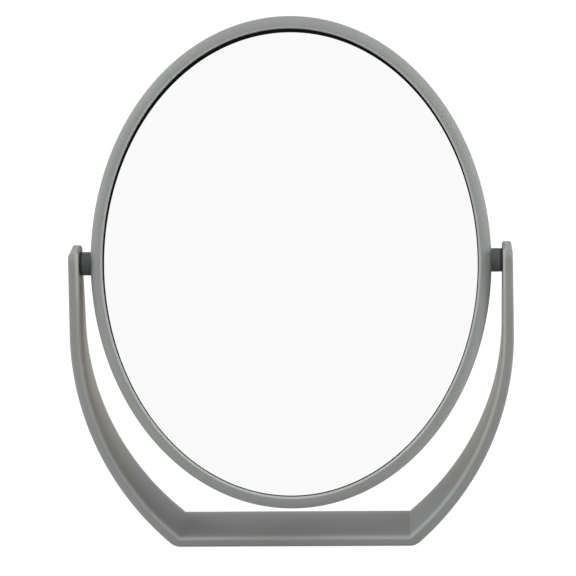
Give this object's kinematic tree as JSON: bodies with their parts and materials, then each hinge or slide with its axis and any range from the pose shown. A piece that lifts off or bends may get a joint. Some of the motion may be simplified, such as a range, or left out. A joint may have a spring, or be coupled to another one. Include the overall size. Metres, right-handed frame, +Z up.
{
  "type": "vanity mirror",
  "caption": "Free-standing two-sided oval vanity mirror that swivels on pins between the arms of a U-shaped band stand.",
  "frame": {"origin": "on the table, under the middle of the stand, which is also the bottom centre of the box", "axes": "+Z up, the mirror faces -Y, +X to the viewer's right"},
  "size_m": [0.192, 0.0646, 0.2291],
  "materials": {
    "soft_grey_plastic": "moulded, soft-touch matt coating",
    "foot_rubber": "moulded, matt",
    "bush_rubber": "moulded, matt",
    "charcoal_plastic": "moulded, satin",
    "core_plastic": "moulded",
    "mirror_glass": "float glass silvered on the back",
    "black_foam": "die-cut closed-cell foam",
    "screw_steel": "zinc plated"
  },
  "bodies": {
    "stand": {"stand": "soft_grey_plastic", "foot_front_left": "foot_rubber", "foot_front_right": "foot_rubber", "foot_rear_left": "foot_rubber", "foot_rear_right": "foot_rubber", "left_friction_bush": "bush_rubber", "right_friction_bush": "bush_rubber"},
    "head": {"left_trunnion": "charcoal_plastic", "right_trunnion": "charcoal_plastic", "front_bezel": "soft_grey_plastic", "rear_bezel": "soft_grey_plastic", "core_plate": "core_plastic", "plain_mirror": "mirror_glass", "magnifying_mirror": "mirror_glass", "front_foam_pad": "black_foam", "rear_foam_disc": "black_foam", "frame_screws": "screw_steel"}
  },
  "joints": [
    {"name": "head_tilt", "type": "hinge", "parent": "stand", "child": "head", "pos_m": [0, 0, 0.1255], "axis": [1, 0, 0], "continuous": true}
  ]
}
